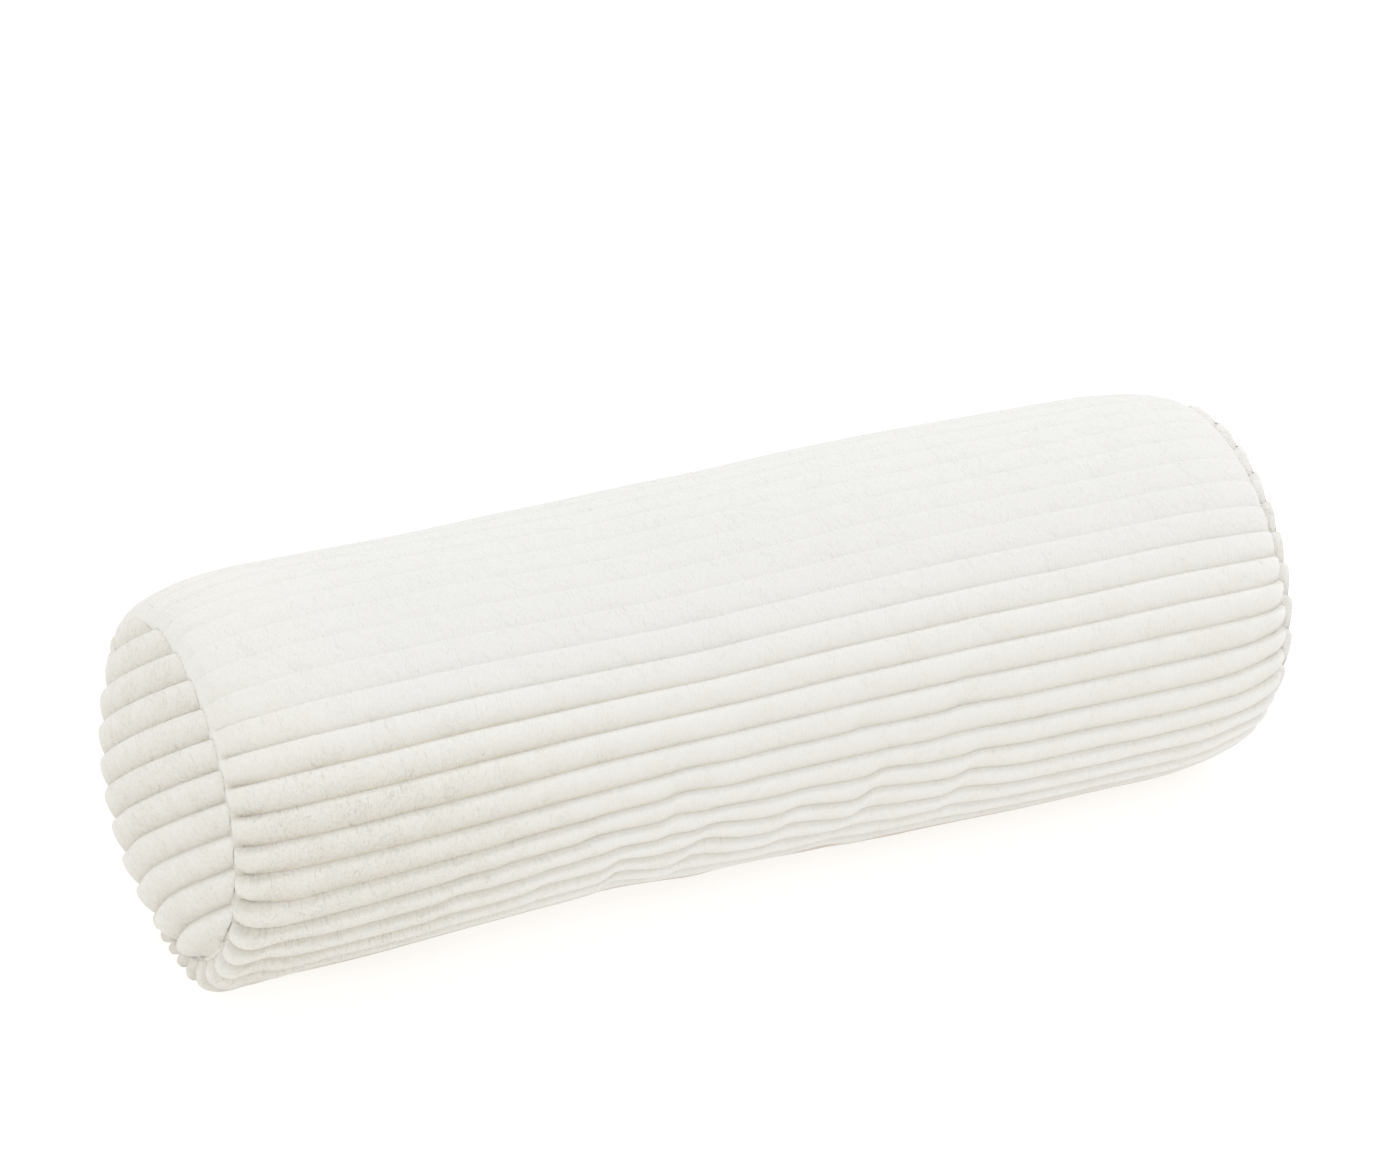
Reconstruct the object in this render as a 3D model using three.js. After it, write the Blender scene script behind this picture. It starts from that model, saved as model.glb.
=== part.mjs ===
import * as THREE from 'three';

// Main sizes of the roll in mm: it lies along X with its flat strip on the surface at z = 0.
const SEAM_TO_SEAM = 410;
const AXIS_HEIGHT = 66.5;
const END_GAP = 0.3;

// The roll's shape at evenly spaced stations from the left seam to the right seam.
const STATIONS = [
  { halfWidth: 75.4, crown: 72.3, sway: -0.6 },
  { halfWidth: 74.7, crown: 71.1, sway: 0.2 },
  { halfWidth: 73.8, crown: 69.2, sway: 2.4 },
  { halfWidth: 74.1, crown: 70.9, sway: 2.3 },
  { halfWidth: 74.6, crown: 72.6, sway: 1.2 },
  { halfWidth: 74.8, crown: 72.4, sway: -1.0 },
  { halfWidth: 75.0, crown: 71.8, sway: -3.6 },
];
const CURVE_TENSION = 0.5;

// The two ends, each drawn in at its seam to a share of the full section, with a domed round panel.
// The share grows by topGain at the top. The shoulder is a round that is shorter by cornerTightness at
// the low front corner, where the cloth sags. The ribs of a panel are turned from the level by ribTurn.
const LEFT_END = {
  name: 'end_panel_left',
  side: -1,
  seamShare: 0.834,
  topGain: 0.008,
  shoulder: 48,
  cornerTightness: 0.73,
  dome: 13.5,
  ribTurn: THREE.MathUtils.degToRad(-37),
};
const RIGHT_END = {
  name: 'end_panel_right',
  side: 1,
  seamShare: 0.819,
  topGain: 0.047,
  shoulder: 42,
  cornerTightness: 0,
  dome: 5,
  ribTurn: THREE.MathUtils.degToRad(-42),
};
const CORNER_ANGLE = 256;
const CORNER_SPREAD = 32;
const SEAM_TUCK = 1.6;
const SEAM_TUCK_LENGTH = 7;

// Wide ribs of the cloth, with narrow grooves between them.
const RIBS_AROUND = 42;
const RIB_DEPTH = 2.4;
const RIB_ROUNDNESS = 0.6;
const RIB_PHASE = 0.67;
const RIB_TWIST = -4.5;
const POINTS_PER_RIB = 4;

// Degrees by which the ribs drift round the roll where the cloth is stretched, over stretches along it.
// A swing parts the ribs above and below its angle. A push is a bell that moves them on together.
const RIB_SWING = { degrees: 4.6, angle: 172, from: -20, to: -120 };
const RIB_PUSHES = [
  { degrees: 2.5, angle: 235, spread: 50, from: -20, to: -120 },
  { degrees: 6.5, angle: 235, spread: 50, from: -165, to: -205 },
  { degrees: 2.5, angle: 228, spread: 25, from: 60, to: 140 },
];

// Round end panels. The first groove lies a part of a rib in from the panel's edge.
const PANEL_RIBS = 11.25;
const PANEL_RIB_PHASE = 0.75;
const PANEL_RIM = 1.5;
const PANEL_DOME_POWER = 0.71;
const PANEL_EDGE_POWER = 11;
const PANEL_STEPS_ALONG_RIB = 14;

// Steps along the roll.
const STEPS_ALONG = 28;
const END_CROWDING = 0.55;

const CLOTH_COLOUR = '#ebe8de';
const CLOTH_ROUGHNESS = 0.95;

const stationCurve = new THREE.CatmullRomCurve3(
  STATIONS.map((station) => new THREE.Vector3(station.halfWidth, station.crown, station.sway)),
  false,
  'catmullrom',
  CURVE_TENSION,
);

// Height of a quarter circle: steep at first, and level at 1 from the round's full length on.
function quarterRound(distance, length) {
  const run = THREE.MathUtils.clamp(distance / length, 0, 1);
  return Math.sqrt(1 - (1 - run) ** 2);
}

// Bell curve over degrees round the axis: 1 at its centre, falling off over its spread.
function bell(degrees, centre, spread) {
  const away = THREE.MathUtils.euclideanModulo(degrees - centre + 180, 360) - 180;
  return Math.exp(-((away / spread) ** 2));
}

// Share of the full section at a distance in from an end's seam, at an angle in degrees.
function drawnInShare(end, distance, degrees) {
  const seamShare = end.seamShare + end.topGain * Math.sin(THREE.MathUtils.degToRad(degrees));
  const tightness = end.cornerTightness * bell(degrees, CORNER_ANGLE, CORNER_SPREAD);
  return THREE.MathUtils.lerp(seamShare, 1, quarterRound(distance, end.shoulder * (1 - tightness)));
}

function seamTuck(distance) {
  return SEAM_TUCK * (1 - quarterRound(distance, SEAM_TUCK_LENGTH));
}

// Half width, crown and sideways sway of the section at a place along the roll, at an angle in degrees.
function sectionAt(x, degrees) {
  const share = THREE.MathUtils.clamp(x / SEAM_TO_SEAM + 0.5, 0, 1);
  const station = stationCurve.getPoint(share);
  const fromLeft = x + SEAM_TO_SEAM / 2;
  const fromRight = SEAM_TO_SEAM / 2 - x;
  const drawnIn = drawnInShare(LEFT_END, fromLeft, degrees) * drawnInShare(RIGHT_END, fromRight, degrees);
  const tuck = seamTuck(fromLeft) + seamTuck(fromRight);
  return {
    halfWidth: station.x * drawnIn - tuck,
    crown: station.y * drawnIn - tuck,
    sway: station.z,
  };
}

// Depth below the crest for a place counted in ribs: zero on a crest, the full depth in a groove.
function grooveDepth(ribPlace) {
  const lift = Math.abs(Math.sin(Math.PI * ribPlace)) ** RIB_ROUNDNESS;
  return RIB_DEPTH * (1 - lift);
}

// How much of a drift acts at a place along the roll: 0 at its from, 1 at its to and past it.
function driftShare(drift, x) {
  return THREE.MathUtils.smoothstep((x - drift.from) / (drift.to - drift.from), 0, 1);
}

// Angle round the axis, in degrees, of a rib place: even ribs, their slow twist and their drift.
function ribAngle(x, ribPlace) {
  const even = (ribPlace + RIB_PHASE) / RIBS_AROUND * 360 + RIB_TWIST * x / SEAM_TO_SEAM;
  const fromSwing = THREE.MathUtils.degToRad(even - RIB_SWING.angle);
  const swing = RIB_SWING.degrees * driftShare(RIB_SWING, x) * Math.sin(fromSwing);
  const push = RIB_PUSHES.reduce(
    (sum, drift) => sum + drift.degrees * driftShare(drift, x) * bell(even, drift.angle, drift.spread),
    0,
  );
  return even + swing + push;
}

// A point of the roll's cloth at a place along it and a rib place around it.
function rollPoint(x, ribPlace) {
  const degrees = ribAngle(x, ribPlace);
  const angle = THREE.MathUtils.degToRad(degrees);
  const section = sectionAt(x, degrees);
  const depth = grooveDepth(ribPlace);
  const y = section.sway + (section.halfWidth - depth) * Math.cos(angle);
  const z = AXIS_HEIGHT + (section.crown - depth) * Math.sin(angle);
  return new THREE.Vector3(x, y, Math.max(z, 0));
}

function geometryFrom(points, triangles) {
  const geometry = new THREE.BufferGeometry();
  geometry.setAttribute('position', new THREE.Float32BufferAttribute(points.flatMap((p) => p.toArray()), 3));
  geometry.setIndex(triangles.flat());
  geometry.computeVertexNormals();
  return geometry;
}

function clothMesh(name, geometry) {
  const cloth = new THREE.MeshStandardMaterial({
    color: CLOTH_COLOUR,
    roughness: CLOTH_ROUGHNESS,
    metalness: 0,
  });
  const mesh = new THREE.Mesh(geometry, cloth);
  mesh.name = name;
  return mesh;
}

// The filled roll: rings of points from seam to seam, closed by a flat disc at each seam.
function rollGeometry() {
  const points = [];
  const triangles = [];
  const around = RIBS_AROUND * POINTS_PER_RIB;
  for (let step = 0; step <= STEPS_ALONG; step += 1) {
    const even = step / STEPS_ALONG * 2 - 1;
    const crowded = Math.sin(even * Math.PI / 2);
    const x = SEAM_TO_SEAM / 2 * THREE.MathUtils.lerp(even, crowded, END_CROWDING);
    for (let turn = 0; turn < around; turn += 1) {
      points.push(rollPoint(x, turn / POINTS_PER_RIB));
    }
  }
  for (let step = 0; step < STEPS_ALONG; step += 1) {
    for (let turn = 0; turn < around; turn += 1) {
      const next = (turn + 1) % around;
      const here = step * around;
      const beyond = here + around;
      triangles.push([here + turn, here + next, beyond + turn]);
      triangles.push([here + next, beyond + next, beyond + turn]);
    }
  }
  const leftCentre = points.push(new THREE.Vector3(-SEAM_TO_SEAM / 2, 0, AXIS_HEIGHT)) - 1;
  const rightCentre = points.push(new THREE.Vector3(SEAM_TO_SEAM / 2, 0, AXIS_HEIGHT)) - 1;
  const lastRing = STEPS_ALONG * around;
  for (let turn = 0; turn < around; turn += 1) {
    const next = (turn + 1) % around;
    triangles.push([leftCentre, next, turn]);
    triangles.push([rightCentre, lastRing + turn, lastRing + next]);
  }
  return geometryFrom(points, triangles);
}

// A point of an end panel's cloth at unit disc coordinates, on the outer face of its dome.
// Grooves sink into the dome's height over its middle and into its radius where its edge is steep.
function panelPoint(end, across, along) {
  const reach = Math.sqrt(Math.max(1 - across ** 2, 0)) * along;
  const p = reach * Math.cos(end.ribTurn) - across * Math.sin(end.ribTurn);
  const q = reach * Math.sin(end.ribTurn) + across * Math.cos(end.ribTurn);
  const seam = sectionAt(end.side * SEAM_TO_SEAM / 2, THREE.MathUtils.radToDeg(Math.atan2(q, p)));
  const radius = Math.min(Math.hypot(p, q), 1);
  const rise = end.dome * (1 - radius ** 2) ** PANEL_DOME_POWER;
  const steepness = radius ** PANEL_EDGE_POWER;
  const depth = grooveDepth((across + 1) / 2 * PANEL_RIBS + PANEL_RIB_PHASE);
  const shrink = 1 - depth * steepness / seam.crown;
  const height = PANEL_RIM + Math.max(rise - depth * (1 - steepness), 0);
  const x = end.side * (SEAM_TO_SEAM / 2 + END_GAP + height);
  const z = AXIS_HEIGHT + seam.crown * q * shrink;
  return new THREE.Vector3(x, seam.sway + seam.halfWidth * p * shrink, Math.max(z, 0));
}

// A domed round panel: rows of points along its ribs, a low rim, and a flat back against the roll.
function panelGeometry(end) {
  const rows = PANEL_RIBS * POINTS_PER_RIB;
  const points = [];
  const rowStarts = [];
  for (let row = 0; row <= rows; row += 1) {
    const across = row / rows * 2 - 1;
    rowStarts.push(points.length);
    const steps = row === 0 || row === rows ? 0 : PANEL_STEPS_ALONG_RIB;
    for (let step = 0; step <= steps; step += 1) {
      const along = steps ? Math.sin((step / steps - 0.5) * Math.PI) : 0;
      points.push(panelPoint(end, across, along));
    }
  }
  const face = [];
  const first = rowStarts[1];
  const last = rowStarts[rows - 1];
  for (let step = 0; step < PANEL_STEPS_ALONG_RIB; step += 1) {
    face.push([rowStarts[0], first + step + 1, first + step]);
    face.push([rowStarts[rows], last + step, last + step + 1]);
    for (let row = 1; row < rows - 1; row += 1) {
      const here = rowStarts[row] + step;
      const above = rowStarts[row + 1] + step;
      face.push([here, here + 1, above]);
      face.push([here + 1, above + 1, above]);
    }
  }
  const rim = [rowStarts[0]];
  for (let row = 1; row < rows; row += 1) rim.push(rowStarts[row] + PANEL_STEPS_ALONG_RIB);
  rim.push(rowStarts[rows]);
  for (let row = rows - 1; row > 0; row -= 1) rim.push(rowStarts[row]);
  const backX = end.side * (SEAM_TO_SEAM / 2 + END_GAP);
  const backStart = points.length;
  rim.forEach((index) => points.push(new THREE.Vector3(backX, points[index].y, points[index].z)));
  const backCentre = points.push(new THREE.Vector3(backX, 0, AXIS_HEIGHT)) - 1;
  rim.forEach((index, place) => {
    const nextPlace = (place + 1) % rim.length;
    face.push([index, backStart + place, backStart + nextPlace]);
    face.push([index, backStart + nextPlace, rim[nextPlace]]);
    face.push([backStart + place, backCentre, backStart + nextPlace]);
  });
  const triangles = end.side > 0 ? face : face.map(([a, b, c]) => [a, c, b]);
  return geometryFrom(points, triangles);
}

const cushion = new THREE.Group();
cushion.name = 'bolster_cushion';
cushion.add(clothMesh('roll_body', rollGeometry()));
cushion.add(clothMesh(LEFT_END.name, panelGeometry(LEFT_END)));
cushion.add(clothMesh(RIGHT_END.name, panelGeometry(RIGHT_END)));

// The cushion stands on z = 0, centred over the origin.
const cushionBox = new THREE.Box3().setFromObject(cushion);
const boxCentre = cushionBox.getCenter(new THREE.Vector3());
cushion.children.forEach((piece) => piece.geometry.translate(-boxCentre.x, -boxCentre.y, -cushionBox.min.z));

export default cushion;
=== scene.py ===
"""Bolster cushion in wide-ribbed ivory plush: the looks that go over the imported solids.

The cushion is a roll lying along X with its flat strip on z = 0. A ribbed tube of cloth is sewn to a
domed round panel at each end. Sizes in the classes are in millimetres; meshes are in metres.
"""

import logging
import math
from dataclasses import dataclass
from enum import IntEnum
from typing import Any

import bpy
import numpy as np
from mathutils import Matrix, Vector


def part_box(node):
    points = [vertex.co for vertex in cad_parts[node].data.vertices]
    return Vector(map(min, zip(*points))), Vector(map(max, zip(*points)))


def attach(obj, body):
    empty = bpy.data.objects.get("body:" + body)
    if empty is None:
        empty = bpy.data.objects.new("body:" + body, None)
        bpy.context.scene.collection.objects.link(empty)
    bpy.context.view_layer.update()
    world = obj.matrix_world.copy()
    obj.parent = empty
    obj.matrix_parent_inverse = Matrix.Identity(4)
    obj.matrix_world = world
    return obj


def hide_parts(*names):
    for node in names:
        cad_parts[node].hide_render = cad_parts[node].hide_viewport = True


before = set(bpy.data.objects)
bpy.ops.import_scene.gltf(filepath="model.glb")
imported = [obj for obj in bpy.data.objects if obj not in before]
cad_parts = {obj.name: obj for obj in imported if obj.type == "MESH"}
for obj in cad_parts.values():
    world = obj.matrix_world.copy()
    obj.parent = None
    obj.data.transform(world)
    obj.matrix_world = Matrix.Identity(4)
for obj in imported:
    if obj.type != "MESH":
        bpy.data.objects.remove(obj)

Array = np.ndarray
METRES = 0.001
FULL_TURN = 2 * math.pi
WAVES_PER_PITCH = 6
PITCH_SPREAD = (0.8, 1.25)
WAVE_PEAK = 1.4
log = logging.getLogger("bolster")


# Shape helpers


def quarter_round(run: Array) -> Array:
    """Height of a quarter circle: 0 at run 0, rising steeply, and level at 1 from run 1 on.

    Args:
        run: distance over the round's length.

    Returns:
        sqrt(1 - (1 - run)^2), with run held between 0 and 1.
    """
    return np.sqrt(1 - (1 - np.clip(run, 0, 1)) ** 2)


def bell(degrees: Array, centre: float, spread: float) -> Array:
    """Bell curve over degrees round the axis: 1 at its centre, exp(-(away / spread)^2) beside it."""
    away = (degrees - centre + 180) % 360 - 180
    return np.exp(-((away / spread) ** 2))


def smooth_step(share: Array) -> Array:
    """The curve 3 t^2 - 2 t^3, from 0 to 1, with t held between them."""
    t = np.clip(share, 0, 1)
    return t * t * (3 - 2 * t)


def soft_floor(height: Array, softness: float) -> Array:
    """Heights pressed flat by the surface at 0, with a short round corner where the cloth leaves it.

    Args:
        height: heights in millimetres, some of them below 0.
        softness: half the height over which the corner turns.

    Returns:
        0 below -softness, the height above +softness, and a parabola between them.
    """
    corner = (height + softness) ** 2 / (4 * softness)
    return np.where(height > softness, height, np.where(height < -softness, 0.0, corner))


def spline_shares(t: Array) -> tuple[Array, Array, Array, Array]:
    """Shares of the four values round a place at t between the middle two, by a cubic B-spline."""
    return (
        (1 - t) ** 3 / 6,
        (3 * t**3 - 6 * t**2 + 4) / 6,
        (-3 * t**3 + 3 * t**2 + 3 * t + 1) / 6,
        t**3 / 6,
    )


def unit(vectors: Array) -> Array:
    """Vectors along the last axis, each made one long."""
    return vectors / np.maximum(np.linalg.norm(vectors, axis=-1, keepdims=True), 1e-12)


def grid_normals(points: Array, wraps: bool) -> Array:
    """Normals of a grid of points: the cross product of its two directions.

    Args:
        points: array of rows by columns by 3.
        wraps: True where the last column is next to the first one.

    Returns:
        Unit normals of the same shape, column direction crossed with row direction.
    """
    if wraps:
        across = np.roll(points, -1, axis=1) - np.roll(points, 1, axis=1)
    else:
        across = np.gradient(points, axis=1)
    return unit(np.cross(across, np.gradient(points, axis=0)))


def smooth_waves(seed: int, places: Array, pitches: tuple[float, ...]) -> Array:
    """Seeded uneven waves between about -1 and 1, smooth over a surface.

    Args:
        seed: the seed of the waves' directions and starts.
        places: array whose last axis holds coordinates in millimetres.
        pitches: wave lengths in millimetres.

    Returns:
        The mean of several sine waves for each pitch, each along its own direction.
    """
    rng = np.random.default_rng(seed)
    total = np.zeros(places.shape[:-1])
    for pitch in pitches:
        for _ in range(WAVES_PER_PITCH):
            direction = unit(rng.normal(size=places.shape[-1])) * FULL_TURN
            direction = direction / (pitch * rng.uniform(*PITCH_SPREAD))
            total += np.sin(places @ direction + rng.uniform(0, FULL_TURN))
    return total / math.sqrt(WAVES_PER_PITCH * len(pitches)) / WAVE_PEAK


@dataclass(frozen=True)
class Ramp:
    """A smooth share, 0 up to start and 1 from start + run on. With a negative run it grows downwards."""

    start: float
    run: float

    def at(self, value: Array) -> Array:
        """The share at a value: smooth_step((value - start) / run)."""
        return smooth_step((value - self.start) / self.run)


# The roll's form


@dataclass(frozen=True)
class Station:
    """The roll's section at one of its evenly spaced stations, in millimetres."""

    half_width: float
    crown: float
    sway: float


class Side(IntEnum):
    """The roll's two ends, as the sign of their place on X."""

    LEFT = -1
    RIGHT = 1


CORNER_ANGLE = 256.0
CORNER_SPREAD = 32.0
LOW_ANGLE = 285.0
LOW_SPREAD = 40.0


@dataclass(frozen=True)
class SeamEnd:
    """One end of the roll: how far the cloth is drawn in at the seam, and the dome of its round panel.

    The share of the full section left at the seam grows by top_gain at the top and by low_gain low down
    at the back. The shoulder is a round that is shorter by corner_tightness at the low front corner,
    where the cloth sags. dome is the panel's height and rib_turn the slant of its ribs in degrees.
    """

    node: str
    side: Side
    seam_share: float
    top_gain: float
    shoulder: float
    corner_tightness: float
    dome: float
    rib_turn: float
    low_gain: float = 0.0

    def drawn_in(self, distance: Array, degrees: Array) -> Array:
        """Share of the full section left at a distance in from the seam, at an angle round the axis."""
        share = self.seam_share + self.top_gain * np.sin(np.radians(degrees))
        share = share + self.low_gain * bell(degrees, LOW_ANGLE, LOW_SPREAD)
        tightness = self.corner_tightness * bell(degrees, CORNER_ANGLE, CORNER_SPREAD)
        return share + (1 - share) * quarter_round(distance / (self.shoulder * (1 - tightness)))


LEFT_END = SeamEnd(
    node="end_panel_left", side=Side.LEFT, seam_share=0.834, top_gain=0.008, shoulder=48.0,
    corner_tightness=0.73, dome=13.5, rib_turn=-37.0, low_gain=0.08,
)
RIGHT_END = SeamEnd(
    node="end_panel_right", side=Side.RIGHT, seam_share=0.819, top_gain=0.047, shoulder=42.0,
    corner_tightness=0.0, dome=5.0, rib_turn=-42.0,
)


@dataclass(frozen=True)
class RollForm:
    """The filled roll without its ribs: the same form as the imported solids, in millimetres."""

    seam_to_seam: float = 410.0
    axis_height: float = 66.5
    stations: tuple[Station, ...] = (
        Station(75.4, 72.3, -0.6),
        Station(74.7, 71.1, 0.2),
        Station(73.8, 69.2, 2.4),
        Station(74.1, 70.9, 2.3),
        Station(74.6, 72.6, 1.2),
        Station(74.8, 72.4, -1.0),
        Station(75.0, 71.8, -3.6),
    )
    seam_tuck: float = 0.8
    seam_tuck_length: float = 4.0
    floor_softness: float = 1.2

    def station_at(self, along: Array) -> Array:
        """Station sizes anywhere along the roll, by a uniform Catmull-Rom curve through the stations.

        Args:
            along: places along X from the roll's middle.

        Returns:
            Array of places by 3: half width, crown and sway.
        """
        knots = np.array([[s.half_width, s.crown, s.sway] for s in self.stations])
        knots = np.vstack([2 * knots[0] - knots[1], knots, 2 * knots[-1] - knots[-2]])
        spans = len(self.stations) - 1
        share = np.clip(along / self.seam_to_seam + 0.5, 0, 1) * spans
        span = np.minimum(share.astype(int), spans - 1)
        t = (share - span)[:, None]
        before, here, there, after = (knots[span + k] for k in range(4))
        leaving, arriving = (there - before) / 2, (after - here) / 2
        bend = 2 * (here - there) + leaving + arriving
        ease = 3 * (there - here) - 2 * leaving - arriving
        return ((bend * t + ease) * t + leaving) * t + here

    def section_at(self, along: Array, angle: Array) -> tuple[Array, Array, Array]:
        """Half width, crown and sway of the section, drawn in at the shoulders and tucked in at the seams.

        Args:
            along: places along X from the roll's middle, one for each row.
            angle: angles round the axis, an array of rows by columns.

        Returns:
            Half width and crown as rows by columns, and sway as rows by 1.
        """
        half_width, crown, sway = (size[:, None] for size in self.station_at(along).T)
        drawn_in, tuck = np.ones_like(angle), np.zeros((len(along), 1))
        for end in (LEFT_END, RIGHT_END):
            distance = (self.seam_to_seam / 2 - end.side * along)[:, None]
            drawn_in = drawn_in * end.drawn_in(distance, np.degrees(angle))
            tuck = tuck + self.seam_tuck * (1 - smooth_step(distance / self.seam_tuck_length))
        return half_width * drawn_in - tuck, crown * drawn_in - tuck, sway

    def skin(self, along: Array, angle: Array) -> Array:
        """Points of the smooth roll: an ellipse at each place, half width by crown, swayed sideways.

        Args:
            along: places along X, one for each row.
            angle: angles round the axis from +Y towards +Z, an array of rows by columns.

        Returns:
            Array of rows by columns by 3.
        """
        half_width, crown, sway = self.section_at(along, angle)
        y = sway + half_width * np.cos(angle)
        z = self.axis_height + crown * np.sin(angle)
        return np.stack([np.broadcast_to(along[:, None], y.shape), y, z], axis=-1)

    def centring(self) -> Array:
        """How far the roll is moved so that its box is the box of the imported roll, in millimetres."""
        solid = np.array(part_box("roll_body")).mean(axis=0) / METRES
        rows, columns = 83, 121
        along = np.linspace(-self.seam_to_seam / 2, self.seam_to_seam / 2, rows)
        skin = self.skin(along, np.broadcast_to(np.linspace(0, FULL_TURN, columns), (rows, columns)))
        sideways = (skin[..., 1].max() + skin[..., 1].min()) / 2
        return np.array([solid[0], solid[1] - sideways, 0.0])

    def placed(self, points: Array) -> Array:
        """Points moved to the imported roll's place and pressed flat on the surface, in metres."""
        moved = points + self.centring()
        moved[..., 2] = soft_floor(moved[..., 2], self.floor_softness)
        return moved * METRES


@dataclass(frozen=True)
class Ribs:
    """The cloth's ribs: round backs with narrow grooves between them, in millimetres.

    The grooves are depth deep where the cloth is tight and slack_depth at the slack left end, reached
    over slack_along. They are deeper low down by droop_gain, and level_depth deep on the stretched top.
    At a seam they begin within seam_run, and the backs stand up by end_bulge, but not round flat_angle.
    """

    depth: float = 2.2
    slack_depth: float = 3.0
    droop_gain: float = 0.25
    slack_along: tuple[float, float] = (20.0, -150.0)
    level_depth: float = 0.6
    level_top: Ramp = Ramp(0.45, 0.45)
    seam_run: float = 1.0
    end_bulge: float = 3.0
    bulge_rise: float = 2.5
    bulge_run: float = 14.0
    flat_angle: float = 325.0
    flat_spread: float = 35.0
    sag: float = 0.26
    upper_power: float = 6.0
    lower_power: float = 1.7
    crowding: float = 0.55
    points: int = 16

    def places(self, count: int) -> Array:
        """Places counted in ribs, crowded towards the grooves: t - c sin(2 pi t) / (2 pi).

        Args:
            count: how many ribs are covered.

        Returns:
            count times points places, the first one in a groove.
        """
        t = np.arange(count * self.points) / self.points
        return t - self.crowding * np.sin(FULL_TURN * t) / FULL_TURN

    def fall(self, places: Array, sag: Array | float) -> tuple[Array, Array]:
        """Depth below the rib's back, which sags: u runs from 0 on the back to 1 in either groove.

        The side that the back sags towards falls off late and steeply, u^upper_power, on the short
        side above it, and as a round u^lower_power on the long side below it.

        Args:
            places: places counted in ribs, growing downwards where sag is positive.
            sag: how far the back lies above the middle of its rib, from -1 to 1.

        Returns:
            Two arrays: 0 on a rib's back and 1 in a groove, and 0 to 1 down its long side alone.
        """
        place = places - np.floor(places)
        back = 0.5 - self.sag * sag
        before, after = np.maximum(back - place, 0) / back, np.maximum(place - back, 0) / (1 - back)
        lean = (sag + 1) / 2
        before_power = self.lower_power + (self.upper_power - self.lower_power) * lean
        after_power = self.upper_power + (self.lower_power - self.upper_power) * lean
        long_side = before * np.maximum(-sag, 0) + after * np.maximum(sag, 0)
        return before**before_power + after**after_power, long_side

    def depth_at(self, along: Array, angle: Array) -> Array:
        """Groove depth: slack cloth is deeply ribbed at the left end, and stretched cloth is flat on top.

        Args:
            along: places along X, rows by 1.
            angle: angles in radians round the roll, rows by columns.

        Returns:
            Depths in millimetres, rows by columns.
        """
        start, full = self.slack_along
        side = self.depth + (self.slack_depth - self.depth) * smooth_step((along - start) / (full - start))
        side = side * (1 - self.droop_gain * np.sin(angle))
        return side + (self.level_depth - side) * self.level_top.at(np.sin(angle))

    def held_at_seam(self, distance: Array) -> Array:
        """Share of the groove depth at a distance in from a seam, where the two cloths meet level."""
        return smooth_step(distance / self.seam_run)

    def bulge_at_seam(self, distance: Array, degrees: Array) -> Array:
        """How far a rib's back stands up just inside a seam, like the tip of a finger.

        Args:
            distance: distances in from the seam, rows by 1.
            degrees: places round the axis, rows by columns.

        Returns:
            end_bulge * quarter_round(distance / bulge_rise) * (1 - smooth_step(distance / bulge_run)),
            less a bell round flat_angle.
        """
        rise = quarter_round(distance / self.bulge_rise)
        bulge = self.end_bulge * rise * (1 - smooth_step(distance / self.bulge_run))
        return bulge * (1 - bell(degrees, self.flat_angle, self.flat_spread))


@dataclass(frozen=True)
class RibDrift:
    """Degrees by which ribs drift round the roll where the cloth is stretched, over a stretch of it.

    angle is the drift's place round the axis, and its full strength lies at to_along and past it. With
    no spread the drift swings, parting the ribs above and below its angle. With a spread it is a bell
    that moves them on together.
    """

    degrees: float
    angle: float
    from_along: float
    to_along: float
    spread: float = 0.0

    def shift(self, along: Array, degrees: Array) -> Array:
        """Degrees added at places along X (rows by 1) and round the axis (rows by columns)."""
        share = smooth_step((along - self.from_along) / (self.to_along - self.from_along))
        if self.spread:
            return self.degrees * share * bell(degrees, self.angle, self.spread)
        return self.degrees * share * np.sin(np.radians(degrees - self.angle))


DRIFTS: tuple[RibDrift, ...] = (
    RibDrift(degrees=4.6, angle=172, from_along=-20, to_along=-120),
    RibDrift(degrees=2.5, angle=235, from_along=-20, to_along=-120, spread=50),
    RibDrift(degrees=6.5, angle=235, from_along=-165, to_along=-205, spread=50),
    RibDrift(degrees=2.5, angle=228, from_along=60, to_along=140, spread=25),
)


@dataclass(frozen=True)
class Crease:
    """A crosswise kink where the stuffed roll bends: the cloth steps in at once and comes out slowly.

    along is its place on X and angle its place round the axis in degrees, half_spread its reach round
    the roll in degrees, lean how far it slants along the roll over that reach, and depth its depth.
    """

    along: float
    angle: float
    half_spread: float
    lean: float
    depth: float
    step: float = 4.5
    fade: float = 12.0

    def reach(self, along: Array, degrees: Array) -> Array:
        """How strongly the crease acts: exp(-(x / step)^2) before its line, exp(-(x / fade)^2) after it.

        Args:
            along: places along X, rows by 1.
            degrees: places round the axis, rows by columns.

        Returns:
            0 to 1, rows by columns.
        """
        turn = (degrees - self.angle) / self.half_spread
        x = along - self.along - self.lean * turn
        before = np.exp(-((np.minimum(x, 0) / self.step) ** 2))
        after = np.exp(-((np.maximum(x, 0) / self.fade) ** 2))
        return before * after * np.exp(-(turn**2))


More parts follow.
